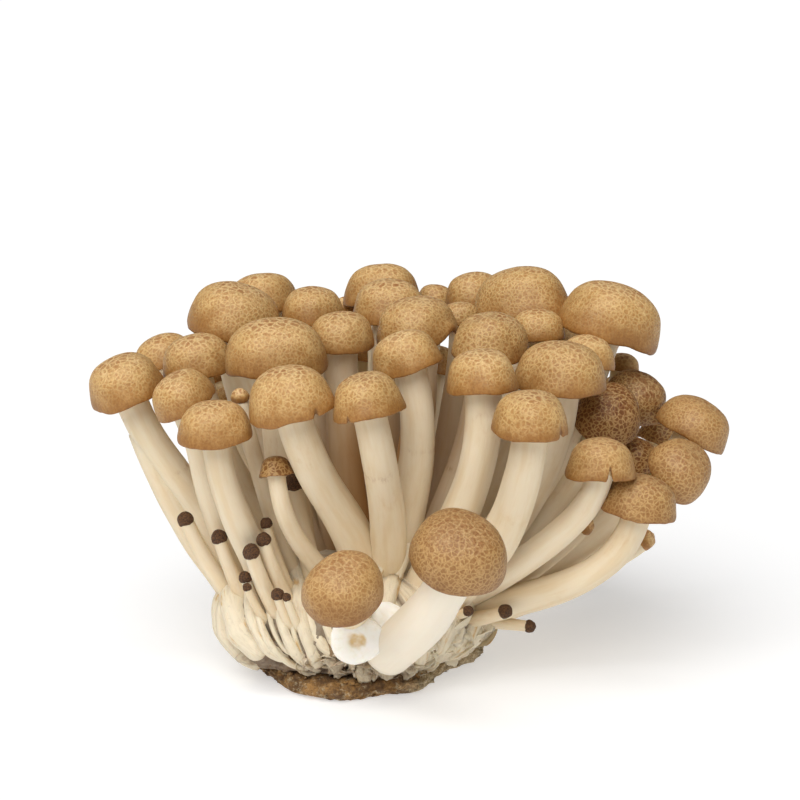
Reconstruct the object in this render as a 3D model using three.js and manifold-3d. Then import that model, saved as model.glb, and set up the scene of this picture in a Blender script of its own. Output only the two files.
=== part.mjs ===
// A cluster of beech mushrooms as it is picked: about fifty brown caps on white stems that spring
// from one clump of mycelium, which stands on a thin crust of sawdust.
// Millimetres, +Z up. The origin is the middle of the flat spot under the crust.
// The side that was photographed faces -Y.
import * as THREE from "three";
import { mergeVertices } from "three/addons/utils/BufferGeometryUtils.js";
import Module from "manifold-3d";

const wasm = await Module();
wasm.setup();

// Driving dimensions
const crust = { foot: [20, 22.5], edge: [24.5, 27.5], thickness: 4, sides: 24 };
const clump = { centre: [-2.8, -2], reach: [26, 25.5], bottom: 4.3, height: 20, sides: 30 };
const capSides = 16;
const stemSides = 8;
const stemSteps = 7;
const touchGap = 0.3; // left between a cap and the stem that carries it
const pressGap = 0.4; // left where a cap presses into a stem or a cap beside it
const rootHeight = 11; // stems start this high, inside the clump
const rootShare = 0.3; // roots stand this much closer together than the caps
const stemLift = 0.7; // under 1, a stem leaves the clump flatter than its cap lies

// A cap's outline in radii of the cap, from the middle of its underside round the rim to its top.
const capOutline = [
  [0, 0.3],
  [0.5, 0.22],
  [0.9, 0],
  [1, 0.32],
  [0.87, 0.7],
  [0.5, 0.97],
  [0, 1.06],
];
const capRise = 1.06;
const gillRing = 1; // the point of the outline where the gills are raised
const gillDepth = 0.08;

// Each mushroom: middle of its cap, the way the cap faces, its radius and the stem's radius under it.
// root and leaves, where given, are the stem's foot and the way that it leaves the clump; arrive is the
// share of the stem's length over which it turns to meet its cap squarely.
const mushrooms = [
  { at: [-53.2, -8, 65.7], up: [-0.3, -0.1, 1], radius: 8.3, neck: 3.4,
    root: [-23, -7], leaves: [-0.5, 0, 1.6] },
  { at: [-46.5, 14, 67.3], up: [-0.3, 0.1, 1], radius: 7, neck: 3 },
  { at: [-38, -1.5, 69.8], up: [-0.15, -0.05, 1], radius: 7.8, neck: 3.2 },
  { at: [-40, -19, 65], up: [-0.55, -0.1, 1], radius: 7.2, neck: 2.8, root: [-21, -9], arrive: 0.15 },
  { at: [-31.6, -32, 61.6], up: [-0.05, -0.08, 1], radius: 7.8, neck: 3, root: [-21, -14], leaves: [0, -0.35, 1] },
  { at: [-30.4, 13.5, 76.5], up: [-0.06, 0, 1], radius: 10.5, neck: 4 },
  { at: [-25.3, 32, 77.4], up: [-0.1, 0.15, 1], radius: 9, neck: 3.8 },
  { at: [-20, -13, 74], up: [0, -0.05, 1], radius: 10.3, neck: 3.8, root: [-14, -8] },
  { at: [-13, 15, 77.8], up: [0, 0.05, 1], radius: 7.4, neck: 3.4 },
  { at: [-6, -2, 75.1], up: [0.05, -0.05, 1], radius: 7.1, neck: 3.4 },
  { at: [-16.3, -35, 68.5], up: [-0.2, -0.08, 1], radius: 9, neck: 3.7, root: [-1, -12], leaves: [1, 0, 9] },
  { at: [0, -37, 68.4], up: [-0.18, 0, 1], radius: 7.5, neck: 3.5, root: [1, -11], leaves: [1, 0, 4] },
  { at: [2.3, 40, 78.4], up: [-0.05, 0.1, 1], radius: 8.8, neck: 3.8 },
  { at: [4, 21, 77.8], up: [0, 0, 1], radius: 8.6, neck: 3.6 },
  { at: [10, 3, 76.6], up: [-0.1, -0.05, 1], radius: 9, neck: 3.6 },
  { at: [7.3, -20, 74], up: [-0.3, -0.02, 1], radius: 7.4, neck: 3.5 },
  { at: [15, 47, 74.5], up: [0.1, 0.15, 1], radius: 4.8, neck: 2.4 },
  { at: [23.6, 38, 77.8], up: [-0.1, 0, 1], radius: 6.7, neck: 3 },
  { at: [33.8, 24, 78.8], up: [-0.12, 0.2, 1], radius: 10.8, neck: 4.2 },
  { at: [26, -6, 74.8], up: [0.1, -0.05, 1], radius: 8.7, neck: 3.8 },
  { at: [36.9, 8, 74.6], up: [0, 0, 1], radius: 6, neck: 3 },
  { at: [23.3, -28, 71.5], up: [0, 0.02, 1], radius: 7.5, neck: 3.7, root: [7, -10] },
  { at: [20, 17, 75.5], up: [0, 0, 1], radius: 4.5, neck: 2.4 },
  { at: [40.6, -15, 69.8], up: [0.03, 0.05, 1], radius: 9.7, neck: 3.8 },
  { at: [48.5, -0.3, 69.2], up: [0.1, 0.1, 1], radius: 6.7, neck: 3 },
  { at: [54.1, 13, 76.7], up: [0.34, 0, 1], radius: 11.4, neck: 3.6 },
  { at: [58, 27, 62.2], up: [0.2, 0.1, 1], radius: 3.9, neck: 2.4 },
  { at: [52, -6.5, 58.6], up: [0.25, -0.75, 1], radius: 7.6, neck: 3.2 },
  { at: [60, 12, 58.2], up: [0.35, -0.7, 1], radius: 7, neck: 3 },
  { at: [32.6, -39, 64.9], up: [0.03, 0, 1], radius: 7.9, neck: 3.9, root: [11, -11] },
  { at: [48.3, -28, 53], up: [0.05, 0, 1], radius: 7.3, neck: 2.9, root: [9, -10], arrive: 0.22 },
  { at: [72.2, 3, 54.3], up: [0.5, 0, 1], radius: 8.2, neck: 3.2 },
  { at: [67.8, -12, 47.2], up: [0.8, -0.7, 0.9], radius: 7.2, neck: 3 },
  { at: [57, -25, 44.2], up: [0.18, 0, 1], radius: 7.8, neck: 3.4, root: [11, -10] },
  { at: [58.5, 2, 47], up: [0.2, -0.2, 1], radius: 5.4, neck: 2.6 },
  { at: [-5, -55.5, 34], up: [-0.12, -0.64, 0.9], radius: 8.1, neck: 3.8,
    root: [-3, -20], leaves: [0, -0.55, 0.83], arrive: 0.15 },
  { at: [18.4, -57.5, 42.1], up: [0.15, -0.68, 0.88], radius: 9.4, neck: 4.4, root: [4, -30] },
  { at: [-19.3, -30, 51.5], up: [-0.1, 0.1, 1], radius: 3.9, neck: 2, root: [-1, -12], leaves: [-3, 0, 5] },
  { at: [-41, 31, 59], up: [-0.3, 0.3, 1], radius: 8, neck: 3.2 },
  { at: [-24, 47, 64], up: [-0.2, 0.35, 1], radius: 8.5, neck: 3.6 },
  { at: [-5, 52, 60.5], up: [0, 0.4, 1], radius: 8.4, neck: 3.9 },
  { at: [14, 56, 56.5], up: [0.1, 0.45, 1], radius: 8, neck: 3.8 },
  { at: [29.5, 50, 65], up: [0.15, 0.3, 1], radius: 8.5, neck: 4 },
  { at: [47, 35, 65], up: [0.25, 0.25, 1], radius: 8.8, neck: 3.6 },
  { at: [60, 40, 52], up: [0.35, 0.3, 1], radius: 7.4, neck: 3.2 },
  { at: [68, 25, 46], up: [0.5, 0.2, 1], radius: 6.8, neck: 3 },
  { at: [-34, 45, 50], up: [-0.3, 0.5, 1], radius: 7.4, neck: 3.2 },
  { at: [-4, 60, 49], up: [-0.05, 0.6, 1], radius: 7.4, neck: 3.6 },
  { at: [19, 61, 42], up: [0.15, 0.6, 1], radius: 7.4, neck: 3.6 },
  { at: [42, 50, 45], up: [0.35, 0.5, 1], radius: 7.4, neck: 3 },
];

// Stunted mushrooms that stopped growing low on the clump: middle of the cap, its radius, and its foot.
const pins = [
  { at: [-39.4, -16, 36.4], radius: 1.7, foot: [-25, -14, 13] },
  { at: [-31.9, -21, 33.8], radius: 1.6, foot: [-23, -17, 13] },
  { at: [-24.5, -31, 33.4], radius: 1.7, foot: [-15, -21, 10] },
  { at: [-22, -29, 35.5], radius: 1.5, foot: [-12, -20, 10] },
  { at: [-26, -28, 27], radius: 1.3, foot: [-18, -20, 9] },
  { at: [-25.5, -30, 25.4], radius: 0.9, foot: [-17, -21, 9] },
  { at: [-21.6, -25, 37.9], radius: 1.2, foot: [-12, -17, 11] },
  { at: [-19, -32, 24.5], radius: 1.3, foot: [-12, -22, 8] },
  { at: [-17.1, -33.2, 24.2], radius: 0.9, foot: [-11, -22, 8] },
  { at: [-16, -20, 45.5], radius: 2, foot: [-9, -15, 14] },
  { at: [29, -23, 18], radius: 1.5, foot: [16, -15, 13] },
  { at: [34.5, -18, 13], radius: 1.3, foot: [20, -12, 13] },
  { at: [21, -26, 19], radius: 1.1, foot: [15, -17, 15] },
  { at: [-26.9, -22, 64.5], radius: 1.8, foot: [-12, -12, 14] },
  { at: [46.3, -14, 34.5], radius: 2, foot: [14, -8, 11] },
  { at: [57.5, -9, 31], radius: 2, foot: [14, -6, 10] },
  { at: [-20, 29, 24], radius: 1.5, foot: [-12, 19, 10] },
  { at: [30, 22, 27], radius: 1.5, foot: [18, 13, 12] },
];

// The second stalk of the mushroom at the far left, which grew together with the first.
const twin = { at: [-49.8, -6.8, 53.5], radius: 3.2, foot: [-24, -6.5, 11] };

// Stumps where a mushroom was cut off: middle of the cut, the way it faces, its radius and its length.
const stumps = [
  { at: [-2.5, -37, 16], faces: [-0.1, -1, 0.12], radius: 5.4, length: 18 },
  { at: [4.5, -34, 19.5], faces: [0.2, -0.75, 0.65], radius: 4.2, length: 15 },
];

// How far a cap swells out of round at an angle about its axis; each mushroom's number gives its own shape.
function capSwell(angle, number) {
  return 1 + 0.045 * Math.cos(2 * angle + 2.4 * number) + 0.025 * Math.cos(3 * angle + 4.1 * number);
}

// The rim waves a little up and down.
function rimWave(angle, number) {
  return 0.07 * Math.cos(2 * angle + 1.3 * number) + 0.03 * Math.cos(5 * angle + 0.7 * number);
}

// Which side of a turned shape a vertex starts, counted from the seam at -Y.
function sideAt(angle, sides) {
  return Math.round(((angle + Math.PI / 2) / (2 * Math.PI)) * sides);
}

function toSolid(geometry) {
  const bare = geometry.index ? geometry.toNonIndexed() : geometry.clone();
  bare.deleteAttribute("normal");
  bare.deleteAttribute("uv");
  const merged = mergeVertices(bare, 1e-3);
  const mesh = new wasm.Mesh({
    numProp: 3,
    vertProperties: merged.attributes.position.array,
    triVerts: new Uint32Array(merged.index.array),
  });
  return new wasm.Manifold(mesh);
}

function toGeometry(solid) {
  const mesh = solid.getMesh();
  const geometry = new THREE.BufferGeometry();
  geometry.setAttribute("position", new THREE.BufferAttribute(mesh.vertProperties, 3));
  geometry.setIndex(new THREE.BufferAttribute(mesh.triVerts, 1));
  geometry.computeVertexNormals();
  return geometry;
}

// Moves every vertex of a geometry to where move(vertex) puts it.
function reshape(geometry, move) {
  const position = geometry.attributes.position;
  const vertex = new THREE.Vector3();
  for (let i = 0; i < position.count; i++) {
    vertex.fromBufferAttribute(position, i);
    move(vertex);
    position.setXYZ(i, vertex.x, vertex.y, vertex.z);
  }
  return geometry;
}

// An outline of [radius, height] pairs turned about +Z.
function turned(outline, sides) {
  const points = outline.map(([radius, height]) => new THREE.Vector2(radius, height));
  return new THREE.LatheGeometry(points, sides).rotateX(Math.PI / 2);
}

function capFrame(mushroom) {
  const axis = new THREE.Vector3(...mushroom.up).normalize();
  const rise = capRise * mushroom.radius;
  const rim = new THREE.Vector3(...mushroom.at).addScaledVector(axis, -rise / 2);
  const turn = new THREE.Quaternion().setFromUnitVectors(new THREE.Vector3(0, 0, 1), axis);
  return { axis, rim, turn };
}

// A cap in its own frame: the middle of its rim at the origin, its top towards +Z.
function capGeometry(mushroom, number, grow = 0) {
  const radius = mushroom.radius + grow;
  const gillRadius = capOutline[gillRing][0] * radius;
  const outline = capOutline.map(([r, h]) => [r * radius, h * radius - grow]);
  return reshape(turned(outline, capSides), (v) => {
    const reach = Math.hypot(v.x, v.y) / radius;
    if (reach < 1e-6) return;
    const angle = Math.atan2(v.y, v.x);
    const isGill = Math.abs(reach * radius - gillRadius) < 1e-3 && v.z < 0.5 * radius;
    const isRaised = sideAt(angle, capSides) % 2 === 0;
    if (isGill) v.z += (isRaised && grow === 0 ? 1 : -1) * gillDepth * radius;
    if (v.z < 0.5 * radius && reach > 0.8) v.z += rimWave(angle, number) * radius * 0.5;
    const swell = capSwell(angle, number);
    v.x *= swell;
    v.y *= swell;
  });
}

function placedCap(mushroom, number, grow) {
  const { rim, turn } = capFrame(mushroom);
  return capGeometry(mushroom, number, grow).applyQuaternion(turn).translate(rim.x, rim.y, rim.z);
}

// A round bar bent along a curve: radiusAt gives its radius from foot (0) to tip (1), tip a cone's height.
function bentBar(curve, radiusAt, sides, steps, tip) {
  const frames = curve.computeFrenetFrames(steps, false);
  const outline = [[0, 0]];
  for (let i = 0; i <= steps; i++) outline.push([radiusAt(i / steps), i]);
  outline.push([0, steps + 1]);
  return reshape(turned(outline, sides), (v) => {
    const step = Math.round(Math.min(v.z, steps));
    const beyond = v.z > steps + 0.5 ? tip : 0;
    const { x, y } = v;
    v.copy(curve.getPointAt(step / steps));
    v.addScaledVector(frames.normals[step], x);
    v.addScaledVector(frames.binormals[step], y);
    v.addScaledVector(frames.tangents[step], beyond);
  });
}

// The stem's line: out of the clump the way it leaves it, and up into the cap along the cap's axis.
function stemCurve(mushroom) {
  const { axis, rim } = capFrame(mushroom);
  const neckHeight = (capOutline[gillRing][1] - gillDepth) * mushroom.radius - touchGap;
  const neck = rim.clone().addScaledVector(axis, neckHeight);
  const [x, y] = mushroom.root ?? [rim.x * rootShare, rim.y * rootShare];
  const root = new THREE.Vector3(x, y, rootHeight);
  const away = neck.clone().sub(root);
  const length = away.length();
  away.z *= stemLift;
  const leaves = mushroom.leaves ? new THREE.Vector3(...mushroom.leaves) : away;
  const first = root.clone().addScaledVector(leaves.normalize(), 0.38 * length);
  const second = neck.clone().addScaledVector(axis, -(mushroom.arrive ?? 0.36) * length);
  return new THREE.CubicBezierCurve3(root, first, second, neck);
}

// A stem is fullest a third of the way up and narrows towards its cap.
function stemSolid(mushroom) {
  const { neck, radius } = mushroom;
  const radiusAt = (t) => neck * (1.16 - 0.16 * t + 0.06 * Math.sin(Math.PI * Math.min(1, 1.5 * t)));
  const tip = (capOutline[0][1] - capOutline[gillRing][1] + gillDepth) * radius;
  return toSolid(bentBar(stemCurve(mushroom), radiusAt, stemSides, stemSteps, tip));
}

function pinCurve(pin) {
  const at = new THREE.Vector3(...pin.at);
  const foot = new THREE.Vector3(...pin.foot);
  const way = at.clone().sub(foot);
  const bulge = new THREE.Vector3(way.x, way.y, -way.z / 2).multiplyScalar(0.15);
  const bend = foot.clone().addScaledVector(way, 0.5).add(bulge);
  return new THREE.QuadraticBezierCurve3(foot, bend, at);
}

function pinSolid(pin) {
  const radiusAt = (t) => pin.radius * (t < 0.8 ? 1.3 - 0.5 * t : t < 0.95 ? 1 : 0.75);
  return toSolid(bentBar(pinCurve(pin), radiusAt, 6, 5, pin.radius * 0.4));
}

function twinSolid() {
  return toSolid(bentBar(pinCurve(twin), (t) => twin.radius * (1.2 - 0.4 * t), stemSides, stemSteps, 0));
}

function stumpSolid(stump) {
  const top = new THREE.Vector3(...stump.at);
  const way = new THREE.Vector3(...stump.faces).normalize();
  const curve = new THREE.LineCurve3(top.clone().addScaledVector(way, -stump.length), top);
  return toSolid(bentBar(curve, () => stump.radius, 8, 2, 0));
}

// The clump's outline in [share of its reach, share of its height].
const clumpOutline = [
  [0, 0],
  [0.86, 0],
  [1.02, 0.2],
  [1.14, 0.48],
  [1.08, 0.76],
  [0.7, 0.95],
  [0, 1],
];

// Knobbly with the feet of stunted stalks, which run up its side as folds.
function clumpSolid() {
  const outline = clumpOutline.map(([r, h]) => [r, clump.bottom + h * clump.height]);
  const geometry = reshape(turned(outline, clump.sides), (v) => {
    const angle = Math.atan2(v.y, v.x);
    const height = (v.z - clump.bottom) / clump.height;
    const foldWay = sideAt(angle, clump.sides) % 2 === 0 ? 1 : -1;
    const fold = foldWay * 0.035 * Math.min(1, 4 * height * (1 - height));
    const lean = 0.05 * Math.cos(3 * angle + 1) + 0.03 * Math.cos(5 * angle);
    const share = 1 + fold + lean;
    v.x = clump.centre[0] + v.x * clump.reach[0] * share;
    v.y = clump.centre[1] + v.y * clump.reach[1] * share;
  });
  return toSolid(geometry);
}

// The crust is flat where it rests, with a broken edge that curls up all round.
function crustGeometry() {
  const outline = [
    [0, 0],
    [0.82, 0],
    [1, 0.35],
    [0.98, 0.8],
    [0.86, 1],
    [0, 1],
  ];
  const foot = crust.foot[0] / crust.edge[0];
  return reshape(turned(outline, crust.sides), (v) => {
    const reach = Math.hypot(v.x, v.y);
    const angle = Math.atan2(v.y, v.x);
    const broken = 0.04 * Math.cos(3 * angle) + 0.03 * Math.cos(7 * angle + 1) + 0.02 * Math.cos(11 * angle);
    const share = reach > foot ? 1 + broken : 1;
    v.x *= crust.edge[0] * share;
    v.y *= crust.edge[1] * share;
    v.z *= crust.thickness;
  });
}

const cluster = new THREE.Group();
const capBrown = new THREE.MeshStandardMaterial({ color: 0xb98a55, roughness: 0.62, metalness: 0 });
const stemWhite = new THREE.MeshStandardMaterial({ color: 0xeadfca, roughness: 0.7, metalness: 0 });
const crustBrown = new THREE.MeshStandardMaterial({ color: 0x7a5a36, roughness: 0.95, metalness: 0 });

function add(name, geometry, material) {
  const mesh = new THREE.Mesh(geometry, material);
  mesh.name = name;
  cluster.add(mesh);
  return mesh;
}

mushrooms.forEach((mushroom, i) => {
  const name = "cap_" + String(i + 1).padStart(2, "0");
  const { rim, turn } = capFrame(mushroom);
  const cap = add(name, capGeometry(mushroom, i + 1), capBrown);
  cap.position.copy(rim);
  cap.quaternion.copy(turn);
});

// Stems give way where a cap presses into them.
function pressedStem(mushroom, number) {
  let stem = stemSolid(mushroom);
  mushrooms.forEach((other, i) => {
    if (i + 1 !== number) stem = stem.subtract(toSolid(placedCap(other, i + 1, pressGap)));
  });
  return stem;
}

let stems = clumpSolid();
mushrooms.forEach((mushroom, i) => {
  stems = stems.add(pressedStem(mushroom, i + 1));
});
pins.forEach((pin) => {
  stems = stems.add(pinSolid(pin));
});
stems = stems.add(twinSolid());
stumps.forEach((stump) => {
  stems = stems.add(stumpSolid(stump));
});
add("stems_and_clump", toGeometry(stems), stemWhite);
add("sawdust_crust", crustGeometry(), crustBrown);

export default cluster;
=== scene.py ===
import math
import random

import bmesh
import bpy
from mathutils import Matrix, Vector, noise


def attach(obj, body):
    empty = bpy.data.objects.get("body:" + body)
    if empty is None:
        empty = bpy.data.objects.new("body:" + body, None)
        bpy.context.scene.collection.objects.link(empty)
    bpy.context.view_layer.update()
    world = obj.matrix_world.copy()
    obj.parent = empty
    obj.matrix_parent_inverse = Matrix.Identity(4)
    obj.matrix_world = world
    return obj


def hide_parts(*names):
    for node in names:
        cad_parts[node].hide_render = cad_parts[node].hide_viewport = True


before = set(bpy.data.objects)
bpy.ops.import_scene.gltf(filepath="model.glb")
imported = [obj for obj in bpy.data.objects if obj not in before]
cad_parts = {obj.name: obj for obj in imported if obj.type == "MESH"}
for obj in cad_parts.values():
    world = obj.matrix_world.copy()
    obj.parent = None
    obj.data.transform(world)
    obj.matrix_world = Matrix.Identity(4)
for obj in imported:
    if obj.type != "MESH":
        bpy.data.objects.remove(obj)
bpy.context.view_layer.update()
draw = random.Random(11)
noise.seed_set(11)  # noise_vector goes by the clock otherwise
mm = 0.001  # everything below is in millimetres until a piece is finished


# shared helpers

def smooth(low, high, value):
    t = min(1, max(0, (value - low) / (high - low)))
    return t * t * (3 - 2 * t)


def polar(spot):
    # the angle about Z and the distance from it
    return math.atan2(spot.y, spot.x), math.hypot(spot.x, spot.y)


def outward(angle):
    return Vector((math.cos(angle), math.sin(angle), 0))


def throughPoints(points, steps):
    # a smooth line through 2D points
    ends = [points[0]] + list(points) + [points[-1]]
    line = []
    for p0, p1, p2, p3 in zip(ends, ends[1:], ends[2:], ends[3:]):
        for i in range(steps):
            t = i / steps
            line.append(tuple(
                0.5 * (2 * b + (c - a) * t + (2 * a - 5 * b + 4 * c - d) * t * t
                       + (3 * b - a - 3 * c + d) * t ** 3)
                for a, b, c, d in zip(p0, p1, p2, p3)))
    line.append(tuple(points[-1]))
    return line


def turned(outline, sides):
    # spins an outline of (radius, height) about +Z; "ring" keeps each point's place along the outline
    bm = bmesh.new()
    ring = bm.verts.layers.float.new("ring")
    line = []
    for i, (radius, height) in enumerate(outline):
        point = bm.verts.new((radius, 0, height))
        point[ring] = i / (len(outline) - 1)
        line.append(point)
    edges = [bm.edges.new(pair) for pair in zip(line, line[1:])]
    bmesh.ops.spin(bm, geom=line + edges, cent=(0, 0, 0), axis=(0, 0, 1), dvec=(0, 0, 0),
                   angle=math.tau, steps=sides, use_merge=True, use_duplicate=False)
    bmesh.ops.remove_doubles(bm, verts=bm.verts, dist=1e-5)
    bmesh.ops.recalc_face_normals(bm, faces=bm.faces)
    return bm


def joined(meshes):
    bm = bmesh.new()
    for mesh in meshes:
        bm.from_mesh(mesh)
        bpy.data.meshes.remove(mesh)
    return bm


def asMesh(bm):
    mesh = bpy.data.meshes.new("shape")
    bm.to_mesh(mesh)
    bm.free()
    return mesh


def finishPiece(name, bm, materials, replaced):
    bmesh.ops.scale(bm, vec=(mm, mm, mm), verts=bm.verts)
    for face in bm.faces:
        face.smooth = True
    mesh = asMesh(bm)
    mesh.name = name
    for material in materials:
        mesh.materials.append(material)
    piece = bpy.data.objects.new(name, mesh)
    bpy.context.scene.collection.objects.link(piece)
    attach(piece, "root")
    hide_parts(replaced)


# camera, floor and light

print("camera, floor and light")
view = {"from": (6.5, -499, 165), "at": (6.5, 0, 59), "lens": 105, "sensor": 36}
camera = bpy.data.objects.new("camera", bpy.data.cameras.new("camera"))
bpy.context.scene.collection.objects.link(camera)
camera.location = Vector(view["from"]) * mm
camera.rotation_euler = (Vector(view["at"]) - Vector(view["from"])).to_track_quat("-Z", "Y").to_euler()
camera.data.lens = view["lens"]
camera.data.sensor_width = view["sensor"]
camera.data.clip_end = 20
bpy.context.scene.camera = camera

studio = {
    "world": 0.13,
    "sun": {"from": (-0.3, -0.85, 1.2), "angle": 60, "strength": 3.2},
    "floorColour": (0.64, 0.64, 0.64, 1),
    "floorGlow": 0.45,
}
world = bpy.data.worlds.new("studio")
bpy.context.scene.world = world
world.use_nodes = True
world.node_tree.nodes["Background"].inputs["Color"].default_value = (1, 1, 1, 1)
world.node_tree.nodes["Background"].inputs["Strength"].default_value = studio["world"]
sun = bpy.data.objects.new("sun", bpy.data.lights.new("sun", "SUN"))
bpy.context.scene.collection.objects.link(sun)
sun.data.energy = studio["sun"]["strength"]
sun.data.angle = math.radians(studio["sun"]["angle"])
sun.rotation_euler = Vector(studio["sun"]["from"]).to_track_quat("Z", "Y").to_euler()
bpy.context.scene.view_settings.view_transform = "Standard"


# materials

def newMaterial(name):
    material = bpy.data.materials.new(name)
    material.use_nodes = True
    return material, material.node_tree, material.node_tree.nodes["Principled BSDF"]


def addNode(tree, kind, inputs=None, **settings):
    node = tree.nodes.new("ShaderNode" + kind)
    for key, value in settings.items():
        setattr(node, key, value)
    for key, value in (inputs or {}).items():
        if isinstance(value, bpy.types.NodeSocket):
            tree.links.new(value, node.inputs[key])
        else:
            node.inputs[key].default_value = value
    return node


def sRgb(red, green, blue):
    linear = []
    for c in (red, green, blue):
        linear.append(c / 255 / 12.92 if c < 10 else ((c / 255 + 0.055) / 1.055) ** 2.4)
    return (*linear, 1)


def mixed(tree, share, first, second, blend="MIX"):
    inputs = {0: share, 6: first, 7: second}  # the factor and the two colours
    return addNode(tree, "Mix", inputs, data_type="RGBA", blend_type=blend).outputs[2]


def ranged(tree, value, low, high, toLow=0.0, toHigh=1.0):
    inputs = {"Value": value, "From Min": low, "From Max": high, "To Min": toLow, "To Max": toHigh}
    return addNode(tree, "MapRange", inputs, interpolation_type="SMOOTHSTEP").outputs["Result"]


def maths(tree, operation, first, second):
    return addNode(tree, "Math", {0: first, 1: second}, operation=operation).outputs[0]


def inMillimetres(tree):
    place = addNode(tree, "TexCoord").outputs["Object"]
    return addNode(tree, "VectorMath", {0: place, "Scale": 1000}, operation="SCALE").outputs[0]


def noiseOf(tree, place, scale, detail=2.0, roughness=0.5):
    inputs = {"Vector": place, "Scale": scale, "Detail": detail, "Roughness": roughness}
    return addNode(tree, "TexNoise", inputs)


def cellsOf(tree, place, scale, feature="DISTANCE_TO_EDGE"):
    return addNode(tree, "TexVoronoi", {"Vector": place, "Scale": scale}, feature=feature)


def attribute(tree, name):
    return addNode(tree, "Attribute", attribute_name=name)


def stretched(tree, place, alongShare):
    # draws a pattern out along Z: the smaller the share, the longer its streaks
    return addNode(tree, "Mapping", {"Vector": place, "Scale": (1, 1, alongShare)}).outputs[0]


def multiplied(tree, colour, tint):
    return mixed(tree, 1.0, colour, tint, "MULTIPLY")


def painted(tree, shader, colour, roughness):
    tree.links.new(colour, shader.inputs["Base Color"])
    shader.inputs["Roughness"].default_value = roughness


def bumped(tree, shader, height, strength, distance):
    bump = addNode(tree, "Bump", {"Height": height, "Strength": strength, "Distance": distance})
    tree.links.new(bump.outputs[0], shader.inputs["Normal"])


def fleshy(shader, share, depth, spread=(1.0, 0.55, 0.3)):
    # light that sinks into the flesh: its share, how deep it goes in metres, and its spread by colour
    shader.inputs["Subsurface Weight"].default_value = share
    shader.inputs["Subsurface Radius"].default_value = spread
    shader.inputs["Subsurface Scale"].default_value = depth


capLook = {
    "crownCell": sRgb(176, 125, 77),
    "crownNet": sRgb(230, 197, 142),
    "domeCell": sRgb(194, 149, 90),
    "domeNet": sRgb(224, 189, 128),
    "blurred": sRgb(200, 157, 102),
    # partly the margin's own plain tan, darkened further as painted shade of the cap's lower side
    "margin": sRgb(166, 118, 60),
    "rimLine": sRgb(208, 180, 134),
    # the colour that a darker tone and painted shade multiply a cap's skin by
    "dark": (0.3, 0.17, 0.06, 1),
    "faint": (0.84, 0.8, 0.74, 1),
    "speck": (0.66, 0.52, 0.38, 1),
    "scar": sRgb(92, 58, 28),
    "crownCells": 0.68,
    "domeCells": 1.05,
    "wander": 0.9,
    "roughness": 0.46,
}


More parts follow.
